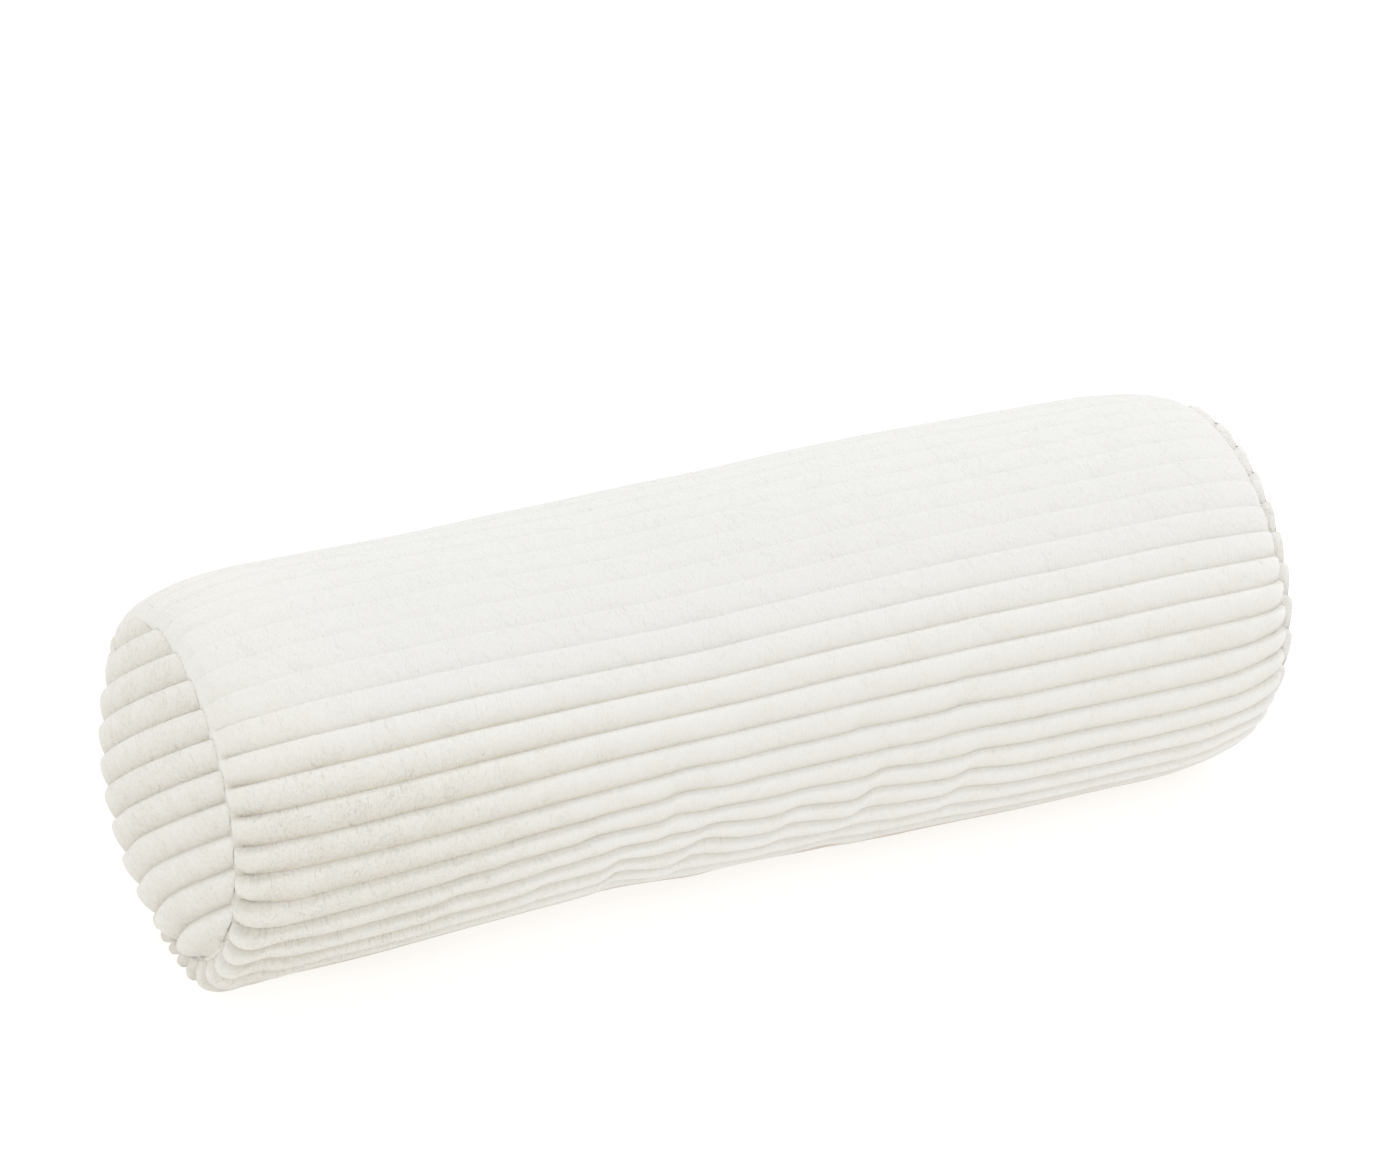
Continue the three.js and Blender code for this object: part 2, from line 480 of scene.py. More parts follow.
CREASES: tuple[Crease, ...] = (
    Crease(along=-40.5, angle=195, half_spread=14, lean=-0.5, depth=2.0),
    Crease(along=-29.0, angle=213, half_spread=15, lean=-3.0, depth=2.6),
    Crease(along=-71.5, angle=194, half_spread=9, lean=-2.0, depth=1.3),
    Crease(along=-58.5, angle=219, half_spread=16, lean=2.0, depth=3.4),
    Crease(along=69.0, angle=177, half_spread=10, lean=-2.0, depth=1.1),
    Crease(along=75.0, angle=205, half_spread=17, lean=-4.0, depth=2.4),
    Crease(along=37.5, angle=203, half_spread=15, lean=-4.0, depth=2.7),
    Crease(along=6.5, angle=210, half_spread=14, lean=-2.0, depth=1.9),
    Crease(along=31.0, angle=177, half_spread=6, lean=0.0, depth=0.6),
    Crease(along=-104.0, angle=196, half_spread=8, lean=-1.0, depth=0.8),
    Crease(along=-89.0, angle=211, half_spread=10, lean=-1.0, depth=1.3),
    Crease(along=-125.0, angle=206, half_spread=12, lean=-4.0, depth=1.3),
)


# Mesh helpers


def tube_faces(rows: int, columns: int) -> Array:
    """Quads of a grid whose last column meets the first one, facing away from the roll's axis."""
    row, column = np.meshgrid(np.arange(rows - 1), np.arange(columns), indexing="ij")
    beside = (column + 1) % columns
    here, there = row * columns, (row + 1) * columns
    return np.stack([here + column, here + beside, there + beside, there + column], axis=-1).reshape(-1, 4)


def mesh_piece(name: str, points: Array, quads: Array, triangles: Array) -> bpy.types.Object:
    """A smooth-shaded mesh object at the origin.

    Args:
        name: the piece's name.
        points: array of vertices by 3, in metres.
        quads: array of faces by 4.
        triangles: array of faces by 3.

    Returns:
        The object, linked to the scene.
    """
    mesh = bpy.data.meshes.new(name)
    loops = np.concatenate([quads.ravel(), triangles.ravel()]).astype(np.int32)
    sizes = np.concatenate([np.full(len(quads), 4), np.full(len(triangles), 3)]).astype(np.int32)
    mesh.vertices.add(len(points))
    mesh.vertices.foreach_set("co", points.astype(np.float32).ravel())
    mesh.loops.add(len(loops))
    mesh.loops.foreach_set("vertex_index", loops)
    mesh.polygons.add(len(sizes))
    mesh.polygons.foreach_set("loop_start", np.concatenate([[0], np.cumsum(sizes)[:-1]]).astype(np.int32))
    mesh.polygons.foreach_set("loop_total", sizes)
    mesh.polygons.foreach_set("use_smooth", np.ones(len(sizes), dtype=bool))
    mesh.update(calc_edges=True)
    mesh.validate()
    piece = bpy.data.objects.new(name, mesh)
    bpy.context.scene.collection.objects.link(piece)
    return piece


def add_attribute(piece: bpy.types.Object, name: str, values: Array) -> None:
    """Puts one number for each vertex on a piece, for its material to read."""
    layer = piece.data.attributes.new(name, "FLOAT", "POINT")
    layer.data.foreach_set("value", values.astype(np.float32).ravel())


def add_cloth_map(piece: bpy.types.Object, places: Array, quads: int = 0, girth: float = 0.0) -> None:
    """Gives a piece a UV map of its cloth's own flat coordinates, in metres.

    Args:
        piece: the mesh object.
        places: array of vertices by 2, along the ribs and across them, in millimetres.
        quads: how many of the first faces go round a tube, so that some close it.
        girth: the tube's girth on the map, added at a closing face's corners past the start.
    """
    corner_vertices = np.empty(len(piece.data.loops), dtype=np.int32)
    piece.data.loops.foreach_get("vertex_index", corner_vertices)
    corners = places[corner_vertices]
    across = corners[: quads * 4, 1].reshape(-1, 4)
    far_side = across.max(axis=1, keepdims=True, initial=0.0)
    corners[: quads * 4, 1] = np.where(far_side - across > girth / 2, across + girth, across).ravel()
    layer = piece.data.uv_layers.new(name="cloth")
    layer.data.foreach_set("uv", (corners * METRES).astype(np.float32).ravel())


# The settling of the cloth


@dataclass(frozen=True)
class ClothSettling:
    """A cloth simulation of the stuffed tube, for the slight puckers that it leaves. Millimetres.

    A tube of cloth with no ribs, a little larger than the roll's skin, is blown up while its two seam
    rings are held. What its surface does beyond a plain swelling is kept.
    """

    form: RollForm
    rows: int = 110
    columns: int = 112
    slack: float = 0.05
    pressure: float = 4.0
    stiffness: float = 15.0
    bending: float = 0.5
    quality: int = 5
    frames: int = 20
    start_waves: float = 0.4
    wave_pitches: tuple[float, float] = (60.0, 30.0)
    plain_waves: int = 5
    smoothing: int = 2
    cap: float = 1.3
    seed: int = 23

    def skin(self) -> tuple[Array, Array]:
        """Points of the tube before it settles, with seeded waves on it, and their normals."""
        half = self.form.seam_to_seam / 2
        along = np.linspace(-half, half, self.rows)
        turn = np.arange(self.columns) / self.columns * FULL_TURN
        skin = self.form.skin(along, np.broadcast_to(turn, (self.rows, self.columns)))
        outward = grid_normals(skin, wraps=True)
        waves = self.start_waves * smooth_waves(self.seed, skin, self.wave_pitches)
        waves[[0, -1]] = 0
        return skin + waves[..., None] * outward, outward

    def simulate(self, start: Array) -> Array:
        """Runs Blender's cloth on the tube.

        Args:
            start: points of the tube, rows by columns by 3.

        Returns:
            The settled points, in the same order.
        """
        scene = bpy.context.scene
        piece = mesh_piece("settling_tube", start.reshape(-1, 3) * METRES,
                           tube_faces(self.rows, self.columns), np.zeros((0, 3), dtype=int))
        count = self.rows * self.columns
        rings = np.concatenate([np.arange(self.columns), np.arange(count - self.columns, count)])
        seams = piece.vertex_groups.new(name="seams")
        seams.add(rings.tolist(), 1.0, "REPLACE")
        cloth = piece.modifiers.new("cloth", "CLOTH")
        cloth.settings.quality = self.quality
        cloth.settings.vertex_group_mass = seams.name
        cloth.settings.use_pressure = True
        cloth.settings.uniform_pressure_force = self.pressure
        cloth.settings.shrink_min = -self.slack
        cloth.settings.tension_stiffness = self.stiffness
        cloth.settings.compression_stiffness = self.stiffness
        cloth.settings.bending_stiffness = self.bending
        cloth.settings.effector_weights.gravity = 0
        cloth.collision_settings.use_collision = False
        cloth.point_cache.frame_start, cloth.point_cache.frame_end = 1, self.frames
        for frame_number in range(1, self.frames + 1):
            scene.frame_set(frame_number)
        settled = np.empty(count * 3, dtype=np.float32)
        piece.evaluated_get(bpy.context.evaluated_depsgraph_get()).data.vertices.foreach_get("co", settled)
        bpy.data.objects.remove(piece)
        scene.frame_set(1)
        return settled.reshape(self.rows, self.columns, 3) / METRES

    def puckers(self) -> Array:
        """How far the settled cloth stands out of its plain swelling.

        Returns:
            Heights in millimetres, rows by columns: what is left of the rise along the normals when the
            lowest waves round the tube are taken out, smoothed and held below the cap.
        """
        start, outward = self.skin()
        rise = ((self.simulate(start) - start) * outward).sum(axis=-1)
        waves = np.fft.rfft(rise, axis=1)
        waves[:, : self.plain_waves + 1] = 0
        heights = np.fft.irfft(waves, n=self.columns, axis=1)
        for _ in range(self.smoothing):
            heights = (np.roll(heights, 1, axis=1) + 2 * heights + np.roll(heights, -1, axis=1)) / 4
            heights[1:-1] = (heights[:-2] + 2 * heights[1:-1] + heights[2:]) / 4
        log.info("settling: rise %.2f mm, puckers %.2f mm, highest %.2f mm",
                 rise.mean(), heights.std(), np.abs(heights).max())
        return self.cap * np.tanh(heights / self.cap)

    def heights_at(self, along: Array, angle: Array) -> Array:
        """Pucker heights on a finer grid, by a uniform cubic B-spline over the simulated grid.

        Args:
            along: places along X, one for each row.
            angle: angles in radians round the axis, rows by columns.
        """
        puckers = self.puckers()
        u = (along[:, None] / self.form.seam_to_seam + 0.5) * (self.rows - 1) + np.zeros_like(angle)
        v = angle / FULL_TURN * self.columns
        row, column = np.floor(u).astype(int), np.floor(v).astype(int)
        row_shares, column_shares = spline_shares(u - row), spline_shares(v - column)
        total = np.zeros_like(angle)
        for i, row_share in enumerate(row_shares, start=-1):
            for j, column_share in enumerate(column_shares, start=-1):
                held_row = np.clip(row + i, 0, self.rows - 1)
                total += row_share * column_share * puckers[held_row, (column + j) % self.columns]
        return total


# Materials


class Wire:
    """A number that flows through a material's nodes. Python operators on it add Math nodes."""

    def __init__(self, recipe: "Recipe", socket: bpy.types.NodeSocket) -> None:
        """Wraps one output socket of a recipe's node."""
        self.recipe = recipe
        self.socket = socket

    def maths(self, operation: str, *operands: "Wire | float") -> "Wire":
        """Adds one Math node.

        Args:
            operation: the Math node's operation.
            operands: what goes into its sockets, in order.

        Returns:
            The node's result.
        """
        inputs = dict(enumerate(operands))
        return Wire(self.recipe, self.recipe.node("ShaderNodeMath", {"operation": operation}, inputs).outputs[0])

    def __add__(self, other: "Wire | float") -> "Wire":
        """Sum."""
        return self.maths("ADD", self, other)

    __radd__ = __add__

    def __mul__(self, other: "Wire | float") -> "Wire":
        """Product."""
        return self.maths("MULTIPLY", self, other)

    __rmul__ = __mul__

    def __sub__(self, other: "Wire | float") -> "Wire":
        """Difference."""
        return self.maths("SUBTRACT", self, other)

    def __rsub__(self, other: "Wire | float") -> "Wire":
        """Difference from a number."""
        return self.maths("SUBTRACT", other, self)

    def __pow__(self, power: "Wire | float") -> "Wire":
        """Power."""
        return self.maths("POWER", self, power)

    def held(self) -> "Wire":
        """The value held between 0 and 1."""
        return self.maths("MINIMUM", self.maths("MAXIMUM", self, 0.0), 1.0)


class Recipe:
    """A material's node tree, with one way to add a node and its surface shader ready to set."""

    def __init__(self, name: str) -> None:
        """Makes a material with a Principled shader."""
        self.material = bpy.data.materials.new(name)
        self.material.use_nodes = True
        self.tree = self.material.node_tree
        self.tree.nodes.clear()
        self.shader = self.node("ShaderNodeBsdfPrincipled", {}, {})
        self.node("ShaderNodeOutputMaterial", {}, {"Surface": self.shader.outputs["BSDF"]})

    def node(self, kind: str, settings: dict[str, Any], inputs: dict[Any, Any]) -> bpy.types.Node:
        """Adds a node: its settings first, then its inputs.

        Args:
            kind: the node's type.
            settings: attributes of the node, such as an operation.
            inputs: socket names or numbers, each with a value, a Wire or a socket to link.

        Returns:
            The node.
        """
        node = self.tree.nodes.new(kind)
        for name, value in settings.items():
            setattr(node, name, value)
        for name, value in inputs.items():
            self.feed(node, name, value)
        return node

    def feed(self, node: bpy.types.Node, name: Any, value: Any) -> None:
        """Links or sets one input socket of a node."""
        if isinstance(value, Wire):
            value = value.socket
        if isinstance(value, bpy.types.NodeSocket):
            self.tree.links.new(value, node.inputs[name])
        else:
            node.inputs[name].default_value = value

    def attribute(self, name: str) -> Wire:
        """A number kept on the piece's vertices."""
        return Wire(self, self.node("ShaderNodeAttribute", {"attribute_name": name}, {}).outputs["Fac"])

    def noise(self, places: bpy.types.NodeSocket, scale: float, detail: float, rough: float = 0.5) -> Wire:
        """Noise between 0 and 1 over the given coordinates."""
        inputs = {"Vector": places, "Scale": scale, "Detail": detail, "Roughness": rough}
        return Wire(self, self.node("ShaderNodeTexNoise", {}, inputs).outputs["Fac"])

    def stretched(self, places: bpy.types.NodeSocket, scale: tuple[float, float, float]) -> bpy.types.NodeSocket:
        """Coordinates scaled differently along their axes."""
        return self.node("ShaderNodeMapping", {}, {"Vector": places, "Scale": scale}).outputs["Vector"]

    def blend(self, share: "Wire | float", first: Any, second: Any) -> bpy.types.NodeSocket:
        """Mixes two colours."""
        mix = self.node("ShaderNodeMix", {"data_type": "RGBA"}, {})
        for name, value in (("Factor", share), ("A", first), ("B", second)):
            shown = next(s for s in mix.inputs if s.name == name and s.enabled)
            self.feed(mix, list(mix.inputs).index(shown), value)
        return next(s for s in mix.outputs if s.enabled)


@dataclass(frozen=True)
class RibbedPlush:
    """Short-pile plush: soft matt ivory with painted warm shade in its grooves, a fine grain and crushed
    patches.

    The colours are blended over pile_colour by the piece's own marks, each times its share. Painted shade
    lies in the grooves, down each rib's long side and where the cloth meets the floor, and partly in the
    creamier tone at the left end and on the end panels. The three stirs say how high the tufts stand on
    plain, crushed and ruffled pile, as a share of tuft_height.
    """

    name: str = "ribbed_plush"
    pile_colour: tuple[float, float, float, float] = (0.770, 0.762, 0.735, 1.0)
    # The creamier tone of crushed patches and tufts, also used as painted shade at the lower left end and on the
    # end panels.
    crushed_and_end_shade_colour: tuple[float, float, float, float] = (0.755, 0.735, 0.680, 1.0)
    level_colour: tuple[float, float, float, float] = (0.722, 0.718, 0.695, 1.0)
    # Painted shade: the grooves are painted darker and warmer than the pile.
    groove_shade_colour: tuple[float, float, float, float] = (0.735, 0.690, 0.600, 1.0)
    # Painted shadow: a dark tan tint where the cloth meets the floor.
    contact_shadow_colour: tuple[float, float, float, float] = (0.500, 0.430, 0.350, 1.0)
    # Painted shade down each rib's long, lower side, where light from above falls off.
    long_side_shade_colour: tuple[float, float, float, float] = (0.640, 0.610, 0.540, 1.0)
    strand_scale: tuple[float, float, float] = (1300.0, 330.0, 1.0)
    tuft_scale: tuple[float, float, float] = (300.0, 230.0, 1.0)
    patch_scale: float = 85.0
    strand_height: float = 0.0004
    tuft_height: float = 0.0014
    crushed_patches: tuple[float, float] = (0.45, 4.0)
    crushed_cream: float = 0.5
    tuft_cream: float = 0.8
    # The end mark is partly the pile's own creamier tone and partly painted shade.
    cream_and_end_shade_share: float = 0.8
    # Strength of the painted shade down each rib's long side.
    long_side_shade_share: float = 0.8
    # Strength of the painted shadow along the floor line.
    contact_shadow_share: float = 0.85
    # Strength, steepness and ragged edge of the painted shade in the grooves.
    groove_shade_share: float = 0.7
    groove_shade_power: float = 5.0
    groove_shade_raggedness: float = 0.3
    plain_stir: float = 0.2
    crushed_stir: float = 0.6
    ruffled_stir: float = 1.4
    roughness: float = 0.92
    specular: float = 0.15
    sheen: float = 0.25
    sheen_roughness: float = 0.5
    sheen_tint: tuple[float, float, float, float] = (1.0, 0.99, 0.97, 1.0)

    def make(self) -> bpy.types.Material:
        """Builds the material's nodes.

        Returns:
            The material.
        """
        recipe = Recipe(self.name)
        places = recipe.node("ShaderNodeTexCoord", {}, {}).outputs["Object"]
        cloth = recipe.node("ShaderNodeUVMap", {"uv_map": "cloth"}, {}).outputs["UV"]
        strands = recipe.noise(recipe.stretched(cloth, self.strand_scale), 1.0, 2.0)
        tufts = recipe.noise(recipe.stretched(cloth, self.tuft_scale), 1.0, 3.0, 0.55)
        patches = recipe.noise(places, self.patch_scale, 3.0, 0.6)
        # The groove mark says where painted shade goes in the grooves.
        groove = recipe.attribute("groove")
        crushed_from, crushed_gain = self.crushed_patches
        crushed = ((patches - crushed_from) * crushed_gain).held()
        ruffled = recipe.attribute("ruffled")
        # Creamier tone: random crushed patches and tufts, plus the end mark, which is partly the pile's own tone
        # and partly painted shade at the lower left end and on the end panels.
        creamy_and_end_shade = crushed * self.crushed_cream + (tufts - 0.5) * self.tuft_cream
        creamy_and_end_shade = (creamy_and_end_shade + recipe.attribute("cream_and_end_shade") * self.cream_and_end_shade_share).held()
        colour = recipe.blend(creamy_and_end_shade, self.pile_colour, self.crushed_and_end_shade_colour)
        colour = recipe.blend(recipe.attribute("level"), colour, self.level_colour)
        # Painted shade down each rib's long side.
        long_side_shade = (recipe.attribute("long_side_shade") * self.long_side_shade_share).held()
        colour = recipe.blend(long_side_shade, colour, self.long_side_shade_colour)
        # Painted shadow along the floor line.
        contact_shadow = (recipe.attribute("contact_shadow") * self.contact_shadow_share).held()
        colour = recipe.blend(contact_shadow, colour, self.contact_shadow_colour)
        # Painted shade in the grooves, its edge made ragged by the strands.
        ragged_groove_shade = (groove + (strands - 0.5) * self.groove_shade_raggedness).held()
        shaded = (ragged_groove_shade**self.groove_shade_power * self.groove_shade_share).held()
        colour = recipe.blend(shaded, colour, self.groove_shade_colour)
        stirred = crushed * self.crushed_stir + ruffled * self.ruffled_stir + self.plain_stir
        height = strands * self.strand_height + tufts * stirred * self.tuft_height
        relief = {"Strength": 1.0, "Distance": 1.0, "Height": height}
        bump = recipe.node("ShaderNodeBump", {}, relief).outputs["Normal"]
        for name, value in (
            ("Base Color", colour),
            ("Normal", bump),
            ("Roughness", self.roughness),
            ("Specular IOR Level", self.specular),
            ("Sheen Weight", self.sheen),
            ("Sheen Roughness", self.sheen_roughness),
            ("Sheen Tint", self.sheen_tint),
        ):
            recipe.feed(recipe.shader, name, value)
        return recipe.material


@dataclass(frozen=True)
class PaleFloor:
    """The plain pale surface that the cushion lies on."""

    name: str = "pale_floor"
    colour: tuple[float, float, float, float] = (0.30, 0.295, 0.29, 1.0)
    glow_colour: tuple[float, float, float, float] = (1.0, 0.988, 0.968, 1.0)
    glow: float = 0.79

    def make(self) -> bpy.types.Material:
        """Builds the floor's plain matt material.

        Returns:
            The material.
        """
        recipe = Recipe(self.name)
        recipe.feed(recipe.shader, "Base Color", self.colour)
        recipe.feed(recipe.shader, "Emission Color", self.glow_colour)
        recipe.feed(recipe.shader, "Emission Strength", self.glow)
        recipe.feed(recipe.shader, "Roughness", 1.0)
        recipe.feed(recipe.shader, "Specular IOR Level", 0.0)
        return recipe.material


# The cushion's pieces


@dataclass
class RibbedTube:
    """The tube of ribbed cloth with its filling, from seam to seam, in millimetres.

    The ramps say where the cloth is level on top (over the sine of the angle), and how the marks of its
    pile grow along the roll and down its side, among them a painted shadow where the cloth meets the
    floor and painted shade at the left end.
    """

    form: RollForm
    ribs: Ribs
    plush: bpy.types.Material
    settling: ClothSettling
    ribs_around: int = 42
    rib_phase: float = 0.67
    rib_twist: float = -4.5
    steps_along: int = 250
    end_crowding: float = 0.75
    wander: float = 0.22
    wander_pitches: tuple[float, float] = (120.0, 70.0)
    unevenness: float = 0.1
    uneven_pitches: tuple[float, float] = (90.0, 30.0)
    lumps: float = 0.3
    lump_pitches: tuple[float, float] = (110.0, 60.0)
    lump_run: float = 30.0
    pucker_run: float = 6.0
    crease_lift: float = 0.55
    crease_sink: float = 0.55
    level_top: Ramp = Ramp(0.35, 0.55)
    level_end: Ramp = Ramp(-130.0, -60.0)
    level_loss: float = 0.6
    ruffled_end: Ramp = Ramp(-40.0, -130.0)
    ruffled_side: Ramp = Ramp(0.75, -0.5)
    # Towards the left end the pile is creamier and painted darker, as shade.
    cream_and_shade_end: Ramp = Ramp(-120.0, -70.0)
    cream_and_shade_gain: float = 0.8
    # Painted shadow near the floor: its height, its growth in from the left end and its least strength.
    contact_shadow_height: float = 15.0
    contact_shadow_from_left: Ramp = Ramp(-195.0, 60.0)
    least_contact_shadow: float = 0.2
    fill: float = 0.85
    seed: int = 11

    def along(self) -> Array:
        """Places along the roll, crowded towards both seams."""
        even = np.linspace(-1, 1, self.steps_along + 1)
        crowded = np.sin(even * math.pi / 2)
        return self.form.seam_to_seam / 2 * (even * (1 - self.end_crowding) + crowded * self.end_crowding)

    def angles(self, along: Array, places: Array) -> Array:
        """Angles round the axis: even ribs with a slow twist, their drifts and a slight wander.

        Args:
            along: places along X.
            places: places counted in ribs.

        Returns:
            Angles in radians, rows by columns.
        """
        even = (places[None, :] + self.rib_phase) / self.ribs_around * 360
        even = even + self.rib_twist * along[:, None] / self.form.seam_to_seam
        drift = sum(drift.shift(along[:, None], even) for drift in DRIFTS)
        drift = drift - self.crease_lift * sum(c.depth * c.reach(along[:, None], even) for c in CREASES)
        radians = np.radians(even)
        rows = np.broadcast_to(along[:, None], even.shape)
        radius = self.form.axis_height
        round_roll = np.stack([rows, radius * np.cos(radians), radius * np.sin(radians)], axis=-1)
        return np.radians(even + drift + self.wander * smooth_waves(self.seed, round_roll, self.wander_pitches))

    def sink(self, along: Array, angle: Array, skin: Array, fall: Array, depth: Array) -> Array:
        """How far the cloth lies below the smooth roll.

        It is the grooves, less the bulge of the rib ends, with the creases and slight lumps, less the
        puckers of the settled cloth, which fade out on the level top and at the seams.

        Args:
            along: places along X, one for each row.
            angle: angles in radians round the axis, rows by columns.
            skin: points of the smooth roll, rows by columns by 3.
            fall: 0 on a rib's back and 1 in a groove, rows by columns.
            depth: groove depths, rows by columns.

        Returns:
            Depths in millimetres, rows by columns.
        """
        degrees = np.degrees(angle)
        to_seam = self.form.seam_to_seam / 2 - np.abs(along)[:, None]
        uneven = 1 + self.unevenness * smooth_waves(self.seed + 1, skin, self.uneven_pitches)
        sink = depth * fall * uneven * self.ribs.held_at_seam(to_seam)
        bulge = self.ribs.bulge_at_seam(to_seam, degrees)
        sink = sink - bulge * (1 - fall) * (depth / self.ribs.slack_depth) ** 3
        for crease in CREASES:
            sink = sink + self.crease_sink * crease.depth * crease.reach(along[:, None], degrees)
        lumps = self.lumps * smooth_waves(self.seed + 2, skin, self.lump_pitches)
        sink = sink + lumps * np.clip(to_seam / self.lump_run, 0, 1)
        puckers = self.settling.heights_at(along, angle) * np.clip(to_seam / self.pucker_run, 0, 1)
        return sink - puckers * (1 - self.level_top.at(np.sin(angle)))

    def marks(self, along: Array, angle: Array, height: Array, fall: Array, long_side_shade: Array,
              depth: Array) -> dict[str, Array]:
        """What the plush reads at each vertex, from 0 to 1.

        Args:
            along: places along X, rows by 1.
            angle: angles in radians round the axis, rows by columns.
            height: heights over the surface in millimetres, rows by columns.
            fall: 0 on a rib's back and 1 in a groove.
            long_side_shade: 0 to 1 down a rib's long side, where shade is painted.
            depth: groove depths.

        Returns:
            Painted groove shade, a painted shadow where the cloth meets the surface, creamier pile that is
            partly painted shade and ruffled pile towards the slack left end, level cloth on top, and painted
            shade down each rib's long side, each rows by columns.
        """
        # A painted shadow that fades out above the floor and is weaker at the very left end.
        contact_shadow = 1 - smooth_step(height / self.contact_shadow_height)
        ruffled = self.ruffled_end.at(along) * self.ruffled_side.at(np.sin(angle))
        level = self.level_top.at(np.sin(angle))
        return {
            # Where painted shade goes in the grooves.
            "groove": np.minimum(fall * depth / self.ribs.depth, 1),
            # Painted shadow where the cloth meets the floor.
            "contact_shadow": contact_shadow * (
                self.least_contact_shadow + (1 - self.least_contact_shadow) * self.contact_shadow_from_left.at(along)
            ),
            # Partly the pile's creamier tone, partly painted shade at the lower left end, where the ruffled pile
            # is.
            "cream_and_end_shade": np.maximum(ruffled, self.cream_and_shade_gain * self.cream_and_shade_end.at(along)),
            "ruffled": ruffled,
            "level": level * (1 - self.level_loss * self.level_end.at(along)),
            # Painted shade down each rib's long side, stronger where the ribs are deep.
            "long_side_shade": long_side_shade * (depth / self.ribs.slack_depth) ** 2,
        }

    def end_faces(self, rows: int, columns: int) -> Array:
        """Triangles that close both ends, each a fan round a hub that follows the grid's vertices."""
        ring, beside = np.arange(columns), (np.arange(columns) + 1) % columns
        last, hub = (rows - 1) * columns, rows * columns
        return np.concatenate([
            np.stack([np.full(columns, hub), beside, ring], axis=-1),
            np.stack([np.full(columns, hub + 1), last + ring, last + beside], axis=-1),
        ])

    def build(self) -> bpy.types.Object:
        """Builds the ribbed tube: the smooth roll, moved in by the cloth's sink.

        Returns:
            The mesh piece.
        """
        along, places = self.along(), self.ribs.places(self.ribs_around)
        angle = self.angles(along, places)
        skin = self.form.skin(along, angle)
        outward = grid_normals(skin, wraps=True)
        # The long side's share of each rib becomes painted shade down that side.
        fall, long_side_shade = self.ribs.fall(places[None, :], -np.cos(angle))
        depth = self.ribs.depth_at(along[:, None], angle)
        sink = self.sink(along, angle, skin, fall, depth)
        points = self.form.placed(skin - sink[..., None] * outward)
        rows, columns = angle.shape
        vertices = np.concatenate([points.reshape(-1, 3), points[[0, -1]].mean(axis=1)])
        piece = mesh_piece("ribbed_tube", vertices, tube_faces(rows, columns), self.end_faces(rows, columns))
        marks = self.marks(along[:, None], angle, points[..., 2] / METRES, fall, long_side_shade, depth)
        for name, values in marks.items():
            add_attribute(piece, name, np.concatenate([values.ravel(), [0.0, 0.0]]))
        round_way = angle * self.form.axis_height
        flat = np.stack([np.broadcast_to(along[:, None], angle.shape), round_way], axis=-1).reshape(-1, 2)
        girth = FULL_TURN * self.form.axis_height
        add_cloth_map(piece, np.concatenate([flat, flat[:2]]), (rows - 1) * columns, girth)
        return dress(piece, self.plush, "roll_body")


